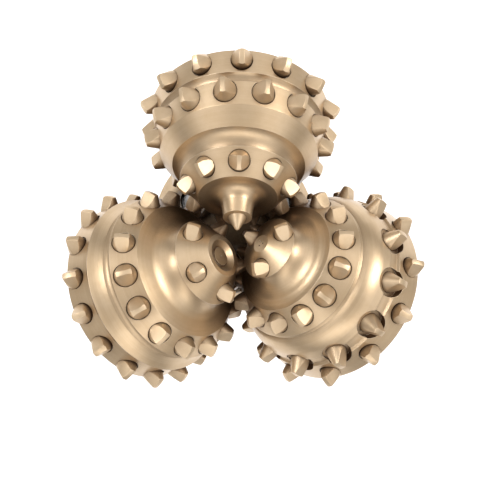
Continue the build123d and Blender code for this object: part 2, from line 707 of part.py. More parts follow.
def ball_plug():
    """The plug that closes the ball hole, with a waist for the grease and a hollow end."""
    ends = turned(
        [
            (0, PLUG_RECESS),
            (BALL_HOLE_RADIUS - PLUG_CLEARANCE, PLUG_RECESS),
            (BALL_HOLE_RADIUS - PLUG_CLEARANCE, 0.22 * BALL_HOLE_LENGTH),
            (BALL_HOLE_RADIUS - 3.4, 0.26 * BALL_HOLE_LENGTH),
            (BALL_HOLE_RADIUS - 3.4, 0.70 * BALL_HOLE_LENGTH),
            (BALL_HOLE_RADIUS - PLUG_CLEARANCE, 0.74 * BALL_HOLE_LENGTH),
            (BALL_HOLE_RADIUS - PLUG_CLEARANCE, BALL_HOLE_LENGTH - 3.2),
            (0, BALL_HOLE_LENGTH - 3.2),
        ],
        Axis.Y,
    )
    race = JOURNAL * Pos(BALL_CENTRE, 0, 0) * Rot(0, 90, 0) * Torus(BALL_PITCH_RADIUS, BALL_GROOVE_RADIUS)
    bearing = JOURNAL * Pos(BACK_FACE, 0, 0) * Rot(0, 90, 0) * Cylinder(JOURNAL_RADIUS, 2 * BACK_FACE)
    plug = (BALL_HOLE * Rot(90, 0, 0) * ends) & bearing
    return (plug - race).solid()


def nozzle():
    """A jet nozzle, with a tapered inlet and a straight throat."""
    top = -NOZZLE_RECESS - SNAP_RING_SECTION
    foot = top - NOZZLE_BODY_LENGTH
    return NOZZLE * Rot(90, 0, 0) * turned(
        [
            (NOZZLE_THROAT_RADIUS, top),
            (NOZZLE_BODY_RADIUS - 1, top),
            (NOZZLE_BODY_RADIUS, top - 1),
            (NOZZLE_BODY_RADIUS, foot),
            (NOZZLE_INLET_RADIUS, foot),
            (NOZZLE_INLET_RADIUS - 1.2, foot + 0.3 * NOZZLE_BODY_LENGTH),
            (NOZZLE_THROAT_RADIUS, foot + 0.6 * NOZZLE_BODY_LENGTH),
        ],
        Axis.Y,
    )


def nozzle_seal():
    """The O-ring round a nozzle."""
    ring = Torus(NOZZLE_BODY_RADIUS + NOZZLE_CLEARANCE + NOZZLE_SEAL_RADIUS, NOZZLE_SEAL_RADIUS)
    return NOZZLE * Pos(0, 0, -NOZZLE_SEAL_DEPTH) * ring


def reservoir_cup():
    """The metal cup that holds the grease, with a hole at its foot."""
    radius = RESERVOIR_RADIUS - 0.1
    top = -CAP_RECESS - CAP_THICKNESS - DIAPHRAGM_WALL - 0.1
    foot = top - CUP_LENGTH
    return RESERVOIR * Rot(90, 0, 0) * turned(
        [
            (radius, top),
            (radius, foot),
            (LUBE_HOLE_RADIUS, foot),
            (LUBE_HOLE_RADIUS, foot + CUP_WALL),
            (radius - CUP_WALL, foot + CUP_WALL),
            (radius - CUP_WALL, top),
        ],
        Axis.Y,
    )


def reservoir_diaphragm():
    """The rubber diaphragm, a hat whose brim is held under the cap."""
    radius = RESERVOIR_RADIUS - 0.1
    top = -CAP_RECESS - CAP_THICKNESS
    crown = top - 0.62 * CUP_LENGTH
    side = radius - CUP_WALL - 2
    return RESERVOIR * Rot(90, 0, 0) * turned(
        [
            (radius, top),
            (radius, top - DIAPHRAGM_WALL),
            (side, top - DIAPHRAGM_WALL),
            (side - 3, crown + 3),
            (side - 6, crown),
            (0, crown),
            (0, crown + DIAPHRAGM_WALL),
            (side - 6 - DIAPHRAGM_WALL / 2, crown + DIAPHRAGM_WALL),
            (side - 3 - DIAPHRAGM_WALL, crown + 3 + DIAPHRAGM_WALL / 2),
            (side - DIAPHRAGM_WALL, top),
        ],
        Axis.Y,
    )


def reservoir_cap():
    """The vented cap over the diaphragm, with a raised rim."""
    radius = RESERVOIR_RADIUS - 0.1
    top = -CAP_RECESS
    return RESERVOIR * Rot(90, 0, 0) * turned(
        [
            (CAP_VENT_RADIUS, top - 1.2),
            (CAP_VENT_RADIUS + 4, top - 1.2),
            (CAP_VENT_RADIUS + 5, top),
            (CAP_VENT_RADIUS + 9, top),
            (CAP_VENT_RADIUS + 10, top - 1.2),
            (radius - 5, top - 1.2),
            (radius - 4, top),
            (radius, top),
            (radius, top - CAP_THICKNESS),
            (CAP_VENT_RADIUS, top - CAP_THICKNESS),
        ],
        Axis.Y,
    )


def ring_of(shape, pitch_radius, count, first=0):
    """Copies of a shape round the journal's axis."""
    copies = []
    for number in range(count):
        copies.append(Rot(first + number * 360 / count, 0, 0) * Pos(0, pitch_radius, 0) * shape)
    return copies


def rollers():
    """The journal's main rollers."""
    centre = ROLLER_RACE_START + ROLLER_END_PLAY + ROLLER_LENGTH / 2
    roller = Pos(centre, 0, 0) * Rot(0, 90, 0) * Cylinder(ROLLER_RADIUS, ROLLER_LENGTH)
    roller = chamfer(roller.edges().filter_by(GeomType.CIRCLE), 0.6)
    return ring_of(roller, ROLLER_PITCH_RADIUS, ROLLER_COUNT)


def balls():
    """The balls that hold the cone on."""
    ball = Pos(BALL_CENTRE, 0, 0) * Sphere(BALL_RADIUS)
    return ring_of(ball, BALL_PITCH_RADIUS, BALL_COUNT)


def seal():
    """The ring seal between a cone and its journal."""
    inner = SEAL_BOSS_RADIUS + RUNNING_CLEARANCE
    section = Pos((GLAND_START + GLAND_END) / 2, (inner + GLAND_RADIUS) / 2) * RectangleRounded(
        GLAND_END - GLAND_START - 2 * SEAL_SLACK, GLAND_RADIUS - inner, SEAL_CORNER
    )
    return revolve(section, Axis.X)


def write(node, shapes):
    """One node's file, from its solids."""
    solids = []
    for shape in shapes:
        solids.extend(shape.solids())
    made = solids[0] if len(solids) == 1 else Compound(children=solids)
    made.label = node
    export_step(made, os.path.join("parts", node + ".step"))


os.makedirs("parts", exist_ok=True)
one_leg = leg()
leg_pieces = {
    "leg": [one_leg],
    "ball_plug": [ball_plug()],
    "nozzle": [nozzle()],
    "nozzle_seal": [nozzle_seal()],
    "nozzle_snap_ring": [
        split_ring(
            NOZZLE * Pos(0, 0, -NOZZLE_RECESS - SNAP_RING_SECTION),
            NOZZLE_BODY_RADIUS + 0.9,
            NOZZLE_BODY_RADIUS - 2,
            SNAP_RING_SECTION,
        )
    ],
    "reservoir_cup": [reservoir_cup()],
    "reservoir_diaphragm": [reservoir_diaphragm()],
    "reservoir_cap": [reservoir_cap()],
    "reservoir_snap_ring": [
        split_ring(
            RESERVOIR * Pos(0, 0, -CAP_RECESS),
            RESERVOIR_RADIUS + 0.9,
            RESERVOIR_RADIUS - 2,
            SNAP_RING_SECTION,
        )
    ],
}
buttons = []
button = chamfer(Cylinder(BUTTON_RADIUS, BUTTON_DEPTH + BUTTON_PROUD).edges().group_by(Axis.Z)[-1], 0.4)
for place in button_places():
    buttons.append(place * Pos(0, 0, (BUTTON_PROUD - BUTTON_DEPTH) / 2) * button)
leg_pieces["shirttail_buttons"] = buttons

one_cone_pieces = {
    "main_rollers": rollers(),
    "retaining_balls": balls(),
    "cone_seal": [seal()],
    "pilot_bushing": [
        turned(
            [
                (PILOT_END, PILOT_RADIUS + RUNNING_CLEARANCE),
                (PILOT_END, PILOT_BORE_RADIUS),
                (THRUST_FACE, PILOT_BORE_RADIUS),
                (THRUST_FACE, PILOT_RADIUS + RUNNING_CLEARANCE),
            ]
        )
    ],
    "thrust_washer": [
        turned(
            [
                (THRUST_FACE, PILOT_RADIUS + 2),
                (THRUST_FACE, JOURNAL_RADIUS - 0.5),
                (THRUST_FACE + THRUST_WASHER_THICKNESS, JOURNAL_RADIUS - 0.5),
                (THRUST_FACE + THRUST_WASHER_THICKNESS, PILOT_RADIUS + 2),
            ]
        )
    ],
    "thrust_button": [
        turned(
            [
                (CAVITY_END, 0),
                (CAVITY_END, PILOT_BORE_RADIUS),
                (CAVITY_END + THRUST_BUTTON_THICKNESS, PILOT_BORE_RADIUS),
                (CAVITY_END + THRUST_BUTTON_THICKNESS, 0),
            ]
        )
    ],
}

SHARED = {
    "ball_plug": "ball_plugs",
    "nozzle_seal": "nozzle_seals",
    "nozzle_snap_ring": "nozzle_snap_rings",
    "reservoir_snap_ring": "reservoir_snap_rings",
    "shirttail_buttons": "shirttail_buttons",
}
for name, node in SHARED.items():
    copies = []
    for index in range(LEG_COUNT):
        copies.extend([leg_place(index) * shape for shape in leg_pieces[name]])
    write(node, copies)

for index in range(LEG_COUNT):
    number = str(index + 1)
    for name, shapes in leg_pieces.items():
        if name not in SHARED:
            write(name + "_" + number, [leg_place(index) * shape for shape in shapes])
    here = leg_place(index) * JOURNAL
    for name, shapes in one_cone_pieces.items():
        write(name + "_" + number, [here * shape for shape in shapes])
    outline, rows = CONES[index]
    all_cutters = []
    for row in rows:
        inserts, cutters = row_pieces(outline, row)
        all_cutters.extend(cutters)
        write(row[0] + "_inserts_" + number, [here * shape for shape in inserts])
    inserts, cutters = heel_pieces(outline, rows)
    all_cutters.extend(cutters)
    write("heel_inserts_" + number, [here * shape for shape in inserts])
    if index == APEX_INSERT_CONE - 1:
        apex = row_place(outline[0][0], 0, 180, 0)
        all_cutters.append(disc(apex, APEX_INSERT_DIAMETER / 2, -INSERT_GRIP, HOLE_REACH))
        point = point_insert(APEX_INSERT_DIAMETER, APEX_INSERT_PROJECTION, APEX_TIP_RADIUS)
        write("apex_insert_" + number, [here * apex * point])
    shell = cone_blank(outline) - all_cutters
    write("cone_" + number, [here * shell.solid()])
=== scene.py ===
"""Look of a 12 1/4 in tricone bit with chisel inserts, seen from close above its cones."""
import bpy
import math
from mathutils import Matrix, Vector


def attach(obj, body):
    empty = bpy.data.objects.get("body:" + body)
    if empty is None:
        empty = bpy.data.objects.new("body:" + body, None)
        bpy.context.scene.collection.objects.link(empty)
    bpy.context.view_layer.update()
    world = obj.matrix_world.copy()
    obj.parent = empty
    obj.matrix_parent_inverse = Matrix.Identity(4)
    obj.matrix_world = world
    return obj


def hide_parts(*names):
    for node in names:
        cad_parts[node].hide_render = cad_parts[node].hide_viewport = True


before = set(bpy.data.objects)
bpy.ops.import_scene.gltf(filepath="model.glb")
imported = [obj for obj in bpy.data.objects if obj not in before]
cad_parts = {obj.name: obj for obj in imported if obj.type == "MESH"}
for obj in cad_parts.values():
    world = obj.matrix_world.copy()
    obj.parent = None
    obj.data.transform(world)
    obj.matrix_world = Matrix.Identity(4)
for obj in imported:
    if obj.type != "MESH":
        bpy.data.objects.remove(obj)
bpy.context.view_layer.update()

# the same sizes as the solids, in metres and radians
JOURNAL_ANGLE = math.radians(33.0)
JOURNAL_OFFSET = 0.00525
AXES_HEIGHT = 0.385
CROSSING = Vector((0, 0, AXES_HEIGHT))
PIN_LENGTH = 0.127
PIN_BASE_RADIUS = 0.0761
PIN_TAPER = 1 / 12

# the pin's thread, in metres; its section is in pitches along the pin and heights out from it
THREAD_HEIGHT = 0.0016
THREAD_PITCH = 0.00635
THREAD_START = 0.006
THREAD_END = PIN_LENGTH - 0.0127
THREAD_STEPS = 96
THREAD_FADE_IN = 40
THREAD_FADE_OUT = 60
THREAD_SECTION = (
    (-0.46, 0.0), (-0.16, 0.90), (-0.06, 1.0), (0.06, 1.0), (0.16, 0.90), (0.46, 0.0), (0.0, -0.25),
)

# outlines of the cone shells in millimetres along and out from the journal's axis
# each point is (along, out, bow of the stretch that ends there, name of the land that ends there)
OUTLINES = (
    (
        (21.2, 0.0, 0, ""), (21.2, 12.3, 0, ""), (33.0, 14.2, 0, ""), (41.0, 29.0, -3.6, ""),
        (40.0, 34.8, 0, ""), (57.8, 51.8, 0, "nose"), (60.4, 46.6, 0, ""),
        (71.3, 59.4, -2.4, ""), (83.8, 71.1, 0, ""), (103.0, 76.7, 0, "middle"),
        (105.0, 73.4, 0, ""), (111.0, 78.6, -1.0, ""), (130.0, 83.0, 0, "gauge"),
    ),
    (
        (27.9, 0.0, 0, ""), (27.9, 8.0, 0, ""), (29.3, 8.4, 0, ""), (25.3, 14.5, 0, ""),
        (25.3, 19.0, 0, ""), (44.5, 38.7, 0, "nose"), (47.0, 34.8, 0, ""), (63.0, 52.0, -3.6, ""),
        (66.0, 61.3, 0, ""), (83.0, 76.5, 0, "middle"), (86.0, 71.9, 0, ""),
        (94.0, 74.3, -1.5, ""), (104.0, 82.6, -0.5, ""), (106.6, 81.4, 0, ""),
        (128.5, 84.5, 0, "gauge"),
    ),
    (
        (18.2, 0.0, 0, ""), (18.2, 8.0, 0, ""), (28.3, 28.3, 0, "nose"), (31.2, 24.6, 0, ""),
        (46.2, 41.0, -3.4, ""), (48.3, 50.0, -0.5, ""), (67.0, 67.8, 0, "middle"),
        (68.8, 64.8, 0, ""), (72.2, 67.2, 0, ""), (74.0, 70.8, 0, ""), (88.0, 79.4, 1.2, ""),
        (92.4, 81.0, 0, ""), (93.2, 79.4, 0, ""), (101.6, 82.0, 0, "trimmer"),
        (102.4, 84.4, 0, ""), (124.5, 89.5, 0, "gauge"),
    ),
)
# the heel's end, then the inside from the mouth past the seal and the bearings to the axis
BORE = (
    (145.0, 58.5), (145.0, 42.5), (143.8, 42.5), (143.8, 47.58), (136.2, 47.58), (136.2, 42.5),
    (134.3, 42.5), (134.3, 49.31), (106.5, 49.31), (106.5, 38.16), (105.0, 38.16), (103.0, 43.5),
    (97.0, 46.11), (91.0, 43.5), (89.0, 38.16), (83.12, 38.16), (83.12, 23.58), (59.92, 23.58),
    (59.92, 0.0),
)
# rows of inserts: land, share of the way along it, count, first angle, lean to the nose,
# diameter, projection, crest width
ROWS = (
    (
        ("nose", 0.52, 9, -2.4, 4, 18.2, 10.1, 2.7),
        ("middle", 0.60, 15, -12.4, 0, 19.4, 11.8, 2.9),
        ("gauge", 0.575, 15, -2.5, 21, 18.0, 12.3, 3.8),
    ),
    (
        ("nose", 0.56, 5, -1.0, 0, 17.4, 10.6, 2.7),
        ("middle", 0.50, 15, -2.8, 0, 19.4, 11.1, 2.9),
        ("gauge", 0.63, 17, 8.1, 23, 18.0, 11.8, 3.8),
    ),
    (
        ("nose", 0.62, 3, -62.0, 0, 17.4, 10.2, 2.7),
        ("middle", 0.46, 14, 6.5, 0, 19.4, 10.85, 2.9),
        ("trimmer", 0.50, 13, 4.2, -13, 17.8, 13.6, 4.0),
        ("gauge", 0.60, 13, -9.6, 18, 18.2, 12.4, 3.8),
    ),
)

# inserts and their holes, in millimetres; a height is above the insert's seat
GRIP = 16.0
GRIP_CHAMFER = 1
FLAT_START = -1.8
CROWN = 0.9
CROWN_KNEE = 0.55
TOP_SHARE = 0.65
EDGE_BEVEL = 0.28
HOLE_GAP = 0.04
HOLE_FLOOR = GRIP + 0.2
EDGE_RING = 0.34
RING_DEPTH = 0.9
POCKET_RADIUS = 12.5
POCKET_DEPTH = 2.0
CUTTER_TOP = 9.0
# the pointed insert at the tip of cone 1
POINT_RADIUS = 1.8
POINT_START = 0.4
APEX_DIAMETER = 16.6
APEX_PROJECTION = 12.0
APEX_HOLE = 8.34
# the flush buttons on each heel, which come with the solids
HEEL_SHARE = 0.6
HEEL_HOLE = 5.05
HEEL_DEPTH = 7.05
# punch dots on each nose: how many, how far from the axis, and their size
DOTS = (0, 1, 3)
DOT_CIRCLE = 2.3
DOT_RADIUS = 0.75
DOT_DEPTH = 0.9

CONE_STEPS = 180
INSERT_STEPS = 48
ARC_PARTS = 10
# the angles in degrees past which an edge is bevelled or shaded sharp
BEVEL_ANGLE = 24
INSERT_SHARP = 12
CONE_SHARP = 20

# from a lathed cutter or insert, which lies along X, to one that stands along Z
UPRIGHT = Matrix(((0, 0, -1, 0), (0, 1, 0, 0), (1, 0, 0, 0), (0, 0, 0, 1)))


def journal(index):
    """A journal's centre point and its outward direction."""
    turn = math.radians(90 + 120 * index)
    side = Vector((-math.sin(turn), math.cos(turn), 0))
    out = Vector((
        math.cos(JOURNAL_ANGLE) * math.cos(turn),
        math.cos(JOURNAL_ANGLE) * math.sin(turn),
        -math.sin(JOURNAL_ANGLE),
    ))
    return CROSSING + side * JOURNAL_OFFSET, out


def journal_matrix(index):
    """From the journal frame in millimetres to the bit's frame in metres."""
    centre, out = journal(index)
    turn = math.radians(90 + 120 * index)
    z = Vector((math.sin(turn), -math.cos(turn), 0))
    y = z.cross(out)
    matrix = Matrix((out, y, z)).transposed().to_4x4()
    matrix.translation = centre
    return matrix @ Matrix.Scale(0.001, 4)


# mesh tools

def new_piece(name, points, faces):
    mesh = bpy.data.meshes.new(name)
    mesh.from_pydata(points, [], faces)
    mesh.validate()
    mesh.update()
    piece = bpy.data.objects.new(name, mesh)
    bpy.context.collection.objects.link(piece)
    return piece


def lathe(name, profile, steps):
    """A closed solid of revolution about X; a profile point on the axis becomes one point."""
    points = []
    rings = []
    for along, out in profile:
        if out < 1e-9:
            rings.append([len(points)])
            points.append((along, 0, 0))
            continue
        ring = []
        for step in range(steps):
            turn = 2 * math.pi * step / steps
            ring.append(len(points))
            points.append((along, out * math.cos(turn), out * math.sin(turn)))
        rings.append(ring)
    faces = []
    pairs = list(zip(rings[:-1], rings[1:]))
    if len(rings[0]) > 1:
        pairs.append((rings[-1], rings[0]))
    for one, two in pairs:
        for step in range(steps):
            after = (step + 1) % steps
            if len(one) == 1:
                faces.append((one[0], two[after], two[step]))
            elif len(two) == 1:
                faces.append((one[step], one[after], two[0]))
            else:
                faces.append((one[step], one[after], two[after], two[step]))
    return new_piece(name, points, faces)


def apply_modifiers(piece):
    graph = bpy.context.evaluated_depsgraph_get()
    made = bpy.data.meshes.new_from_object(piece.evaluated_get(graph))
    piece.modifiers.clear()
    old = piece.data
    piece.data = made
    bpy.data.meshes.remove(old)


def cut(piece, other, operation="DIFFERENCE"):
    """Cuts a piece with another one, which is then thrown away."""
    modifier = piece.modifiers.new("cut", "BOOLEAN")
    modifier.object = other
    modifier.operation = operation
    modifier.solver = "EXACT"
    apply_modifiers(piece)
    bpy.data.objects.remove(other)


def copies(name, source, matrices):
    """One piece made of a mesh at many places; the source is thrown away."""
    points = []
    faces = []
    for matrix in matrices:
        base = len(points)
        points += [tuple(matrix @ v.co) for v in source.data.vertices]
        faces += [tuple(base + k for k in face.vertices) for face in source.data.polygons]
    bpy.data.objects.remove(source)
    return new_piece(name, points, faces)


def bowed(start, end, bow):
    """The points after start, along a straight stretch or one bowed by so much."""
    if bow == 0:
        return [end]
    run, climb = end[0] - start[0], end[1] - start[1]
    length = math.hypot(run, climb)
    radius = (length * length / 4 + bow * bow) / (2 * abs(bow))
    sign = 1 if bow > 0 else -1
    normal = (-climb / length * sign, run / length * sign)
    middle = ((start[0] + end[0]) / 2, (start[1] + end[1]) / 2)
    centre = [middle[k] + normal[k] * (abs(bow) - radius) for k in (0, 1)]
    first = math.atan2(start[1] - centre[1], start[0] - centre[0])
    last = math.atan2(end[1] - centre[1], end[0] - centre[0])
    sweep = (last - first + math.pi) % (2 * math.pi) - math.pi
    angles = [first + sweep * k / ARC_PARTS for k in range(1, ARC_PARTS + 1)]
    return [
        (centre[0] + radius * math.cos(angle), centre[1] + radius * math.sin(angle))
        for angle in angles
    ]


# node tools

class Nodes:
    """A short way to write a node tree."""

    def __init__(self, name):
        self.material = bpy.data.materials.new(name)
        self.material.use_nodes = True
        self.tree = self.material.node_tree
        self.tree.nodes.clear()
        self.output = self.new("ShaderNodeOutputMaterial")
        self.shader = self.new("ShaderNodeBsdfPrincipled")
        self.tree.links.new(self.shader.outputs[0], self.output.inputs[0])
        self.place = self.new("ShaderNodeTexCoord").outputs["Object"]

    def new(self, kind, **settings):
        node = self.tree.nodes.new(kind)
        for key, value in settings.items():
            setattr(node, key, value)
        return node

    def put(self, socket, value):
        if isinstance(value, bpy.types.NodeSocket):
            self.tree.links.new(value, socket)
        else:
            socket.default_value = value

    def math(self, operation, a, b=0.0, clamp=False):
        node = self.new("ShaderNodeMath", operation=operation, use_clamp=clamp)
        for socket, value in zip(node.inputs, (a, b)):
            self.put(socket, value)
        return node.outputs[0]

    def vector(self, operation, a, b=(0, 0, 0), scale=1.0):
        node = self.new("ShaderNodeVectorMath", operation=operation)
        self.put(node.inputs[0], a)
        self.put(node.inputs[1], b)
        if operation == "SCALE":
            self.put(node.inputs["Scale"], scale)
        return node.outputs["Value"] if operation in ("DOT_PRODUCT", "LENGTH") else node.outputs[0]

    def join(self, x, y=0.0, z=0.0):
        node = self.new("ShaderNodeCombineXYZ")
        for socket, value in zip(node.inputs, (x, y, z)):
            self.put(socket, value)
        return node.outputs[0]

    def noise(self, place, scale, detail=3.0, roughness=0.55):
        node = self.new("ShaderNodeTexNoise")
        self.put(node.inputs["Vector"], place)
        self.put(node.inputs["Scale"], scale)
        self.put(node.inputs["Detail"], detail)
        self.put(node.inputs["Roughness"], roughness)
        return node.outputs[0]

    def ramp(self, value, low, high, to_low=0.0, to_high=1.0):
        """A smooth step of a value."""
        node = self.new("ShaderNodeMapRange", interpolation_type="SMOOTHSTEP")
        for socket, number in zip(node.inputs[:5], (value, low, high, to_low, to_high)):
            self.put(socket, number)
        return node.outputs[0]

    def mix(self, share, a, b):
        node = self.new("ShaderNodeMix", data_type="RGBA")
        self.put(node.inputs[0], share)
        self.put(node.inputs[6], a)
        self.put(node.inputs[7], b)
        return node.outputs[2]

    def bump(self, height, distance, strength, normal):
        node = self.new("ShaderNodeBump")
        self.put(node.inputs["Height"], height)
        self.put(node.inputs["Distance"], distance)
        self.put(node.inputs["Strength"], strength)
        self.put(node.inputs["Normal"], normal)
        return node.outputs[0]

    def rounded(self, radius):
        """A normal that is rounded over near edges, and how much of an edge there is."""
        bevel = self.new("ShaderNodeBevel", samples=6)
        self.put(bevel.inputs["Radius"], radius)
        true = self.new("ShaderNodeNewGeometry").outputs["Normal"]
        same = self.vector("DOT_PRODUCT", bevel.outputs[0], true)
        return bevel.outputs[0], self.ramp(same, 0.995, 0.90)

    def hollow(self, distance):
        """How deep in a corner or a gap a point lies, from occlusion; the paints darken such places
        as painted shade.
        """
        node = self.new("ShaderNodeAmbientOcclusion", samples=8)
        self.put(node.inputs["Distance"], distance)
        return self.math("SUBTRACT", 1.0, node.outputs["AO"], clamp=True)

    def gap(self, most=1.0):
        """How far down between the cones a point lies, from occlusion, for painted shade there."""
        return self.ramp(self.hollow(0.090), 0.24, 0.74, 0.0, most)


# materials

def colour(red, green, blue):
    return (red, green, blue, 1.0)


GOLD = colour(0.515, 0.368, 0.214)
GOLD_PALE = colour(0.78, 0.62, 0.425)
# the darkest gold is painted shade, and the palest is painted highlight along edges and rubbed
# paint
GOLD_SHADE = colour(0.118, 0.058, 0.023)
GOLD_EDGE_GLINT = colour(0.93, 0.82, 0.62)
SOOT_DARK = colour(0.030, 0.018, 0.008)
SOOT_PALE = colour(0.13, 0.085, 0.042)


def gold_paint(name, turned_about=None, casting=0.0, pale=0.0, soft_edge=0.0005):
    """Satin champagne-gold paint, over turned steel or over a rough forging."""
    n = Nodes(name)
    edge_normal, edge = n.rounded(soft_edge)
    cloud = n.noise(n.place, 38.0, 4.0, 0.6)
    fleck = n.noise(n.place, 2600.0, 2.0, 0.5)
    # painted shade in hollows and corners, which also roughens them a little
    hollow_shade = n.hollow(0.010)
    # painted shade down between the cones
    gap_shade = n.gap()
    if turned_about is not None:
        # tool marks that run round the journal's axis
        centre, axis = turned_about
        from_centre = n.vector("SUBTRACT", n.place, tuple(centre))
        along = n.vector("DOT_PRODUCT", from_centre, tuple(axis))
        across = n.vector("SUBTRACT", from_centre, n.vector("SCALE", tuple(axis), scale=along))
        radius = n.vector("LENGTH", across)
        drift = n.math("MULTIPLY", n.noise(n.place, 14.0, 2.0), 0.0009)
        waver = n.math("MULTIPLY", cloud, 0.0006)
        spot = n.join(n.math("ADD", along, drift), radius, waver)
        fine = n.noise(spot, 1500.0, 2.0, 0.7)
        broad = n.noise(spot, 260.0, 3.0, 0.6)
        lines = n.math("ADD", n.math("MULTIPLY", fine, 0.55), n.math("MULTIPLY", broad, 0.45))
        height = n.math("ADD", lines, n.math("MULTIPLY", fleck, 0.25))
        relief = 0.00012
    else:
        lines = n.noise(n.place, 120.0, 5.0, 0.65)
        rough_cast = n.math("MULTIPLY", lines, casting)
        height = n.math("ADD", rough_cast, n.math("MULTIPLY", fleck, 0.3))
        relief = 0.00010 + 0.0005 * casting
    tone = n.math("ADD", n.math("MULTIPLY", cloud, 0.6), n.math("MULTIPLY", lines, 0.4))
    base = n.mix(n.math("MULTIPLY", n.ramp(tone, 0.35, 0.68), 0.34), GOLD, GOLD_PALE)
    if pale:
        base = n.mix(pale, base, GOLD_PALE)
    # painted shade: darker gold in hollows and down between the cones
    base = n.mix(n.math("MULTIPLY", hollow_shade, 0.75, clamp=True), base, GOLD_SHADE)
    base = n.mix(n.math("MULTIPLY", gap_shade, 0.88), base, GOLD_SHADE)
    # paler edges: painted highlight along the edges, and rubbed paint, patchy with the cloud
    edge_glint_and_wear = n.math("MULTIPLY", edge, n.ramp(cloud, 0.25, 0.6, 0.35, 1.0))
    base = n.mix(n.math("MULTIPLY", edge_glint_and_wear, 0.55), base, GOLD_EDGE_GLINT)
    n.put(n.shader.inputs["Base Color"], base)
    n.put(n.shader.inputs["Metallic"], n.ramp(cloud, 0.3, 0.7, 0.76, 0.88))
    rough = n.math("ADD", 0.28 + 0.4 * pale, n.math("MULTIPLY", lines, 0.16))
    n.put(n.shader.inputs["Roughness"], n.math("ADD", rough, n.math("MULTIPLY", hollow_shade, 0.2)))
    n.put(n.shader.inputs["Coat Weight"], 0.25)
    n.put(n.shader.inputs["Coat Roughness"], 0.22)
    n.put(n.shader.inputs["Normal"], n.bump(height, relief, 0.6, edge_normal))
    return n


def cone_paint(index):
    return gold_paint("cone_gold_%d" % (index + 1), turned_about=journal(index)).material


def leg_paint():
    """Forged legs: painted outside, and bare dark casting down between the cones."""
    n = gold_paint("leg_gold", casting=1.0)
    split = n.new("ShaderNodeSeparateXYZ")
    n.put(split.inputs[0], n.place)
    out = n.vector("LENGTH", n.join(split.outputs[0], split.outputs[1]))
    ragged = n.math("MULTIPLY", n.noise(n.place, 60.0, 4.0), 0.02)
    inner = n.ramp(n.math("ADD", out, ragged), 0.112, 0.085)
    above_shank = n.ramp(split.outputs[2], 0.185, 0.200)
    dark = n.math("MULTIPLY", inner, above_shank)
    soot = n.mix(n.noise(n.place, 420.0, 5.0, 0.75), SOOT_DARK, SOOT_PALE)
    old = n.shader.inputs["Base Color"].links[0].from_socket
    n.put(n.shader.inputs["Base Color"], n.mix(n.math("MULTIPLY", dark, 0.85), old, soot))
    old = n.shader.inputs["Roughness"].links[0].from_socket
    rougher = n.math("MULTIPLY", dark, 0.3)
    n.put(n.shader.inputs["Roughness"], n.math("ADD", old, rougher))
    return n.material


def metal(name, low, high, rough, scale, metallic=1.0):
    """Plain machined or moulded stuff with a fine grain."""
    n = Nodes(name)
    edge_normal, edge = n.rounded(0.0004)
    grain = n.noise(n.place, scale, 4.0, 0.65)
    cloud = n.noise(n.place, scale / 8)
    # painted shade in hollows and corners
    hollow_shade = n.hollow(0.004)
    base = n.mix(grain, low, high)
    hollow_shade_colour = colour(low[0] * 0.3, low[1] * 0.3, low[2] * 0.3)
    base = n.mix(n.math("MULTIPLY", hollow_shade, 0.6), base, hollow_shade_colour)
    # painted shade down between the cones
    base = n.mix(n.gap(0.85), base, colour(low[0] * 0.12, low[1] * 0.11, low[2] * 0.10))
    # paler edges: painted highlight along the edges
    n.put(n.shader.inputs["Base Color"], n.mix(n.math("MULTIPLY", edge, 0.3), base, high))
    n.put(n.shader.inputs["Metallic"], metallic)
    n.put(n.shader.inputs["Roughness"], n.ramp(cloud, 0.3, 0.7, rough * 0.8, rough * 1.25))
    n.put(n.shader.inputs["Normal"], n.bump(grain, 0.00005, 0.5, edge_normal))
    return n.material


insert_gold = gold_paint("insert_gold", pale=0.15, casting=0.12, soft_edge=0.00018).material
leg_gold = leg_paint()
cone_golds = [cone_paint(index) for index in range(3)]
carbide = metal("carbide", colour(0.16, 0.155, 0.15), colour(0.42, 0.41, 0.40), 0.32, 600.0)
rubber = metal(
    "seal_rubber", colour(0.012, 0.012, 0.013), colour(0.03, 0.03, 0.032), 0.55, 500.0, 0.0)
bronze = metal("bearing_bronze", colour(0.42, 0.26, 0.12), colour(0.72, 0.50, 0.27), 0.30, 400.0)
bright = metal("bearing_steel", colour(0.48, 0.48, 0.49), colour(0.78, 0.78, 0.80), 0.14, 500.0)
steel = metal("plain_steel", colour(0.30, 0.30, 0.30), colour(0.55, 0.55, 0.56), 0.34, 300.0)


def material_for(node):
    """The material of a solid, from its node's name."""
    if node.startswith("leg_"):
        return leg_gold
    if node.startswith("cone_seal") or "diaphragm" in node or node == "nozzle_seals":
        return rubber
    if node.startswith("cone_"):
        return cone_golds[int(node[-1]) - 1]
    if node.startswith("heel_") or node == "shirttail_buttons":
        return carbide
    if node.startswith("nozzle_") and "ring" not in node:
        return carbide
    if "insert" in node:
        return insert_gold
    if "bushing" in node or "thrust" in node:
        return bronze
    if "roller" in node or "balls" in node:
        return bright
    return steel


for node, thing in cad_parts.items():
    thing.data.materials.clear()
    thing.data.materials.append(material_for(node))


# cones and inserts, made in the journal frame in millimetres

def seat(outline, land, share, lean):
    """A row's seat on its land, and the direction it points in from the journal's axis."""
    for start, end in zip(outline[:-1], outline[1:]):
        if end[3] == land:
            run, climb = end[0] - start[0], end[1] - start[1]
            pointing = math.atan2(climb, run) + math.pi / 2 + math.radians(lean)
            return start[0] + share * run, start[1] + share * climb, pointing


def row_matrix(along, out, pointing, turn):
    """An insert's place in the journal frame: Z outward and X along its crest."""
    c, s = math.cos(math.radians(turn)), math.sin(math.radians(turn))
    z = Vector((math.cos(pointing), math.sin(pointing) * c, math.sin(pointing) * s))
    x = Vector((math.sin(pointing), -math.cos(pointing) * c, -math.cos(pointing) * s))
    y = z.cross(x)
    matrix = Matrix((x, y, z)).transposed().to_4x4()
    matrix.translation = Vector((along, out * c, out * s))
    return matrix


def row_matrices(along, out, pointing, count, first):
    return [row_matrix(along, out, pointing, first + k * 360 / count) for k in range(count)]


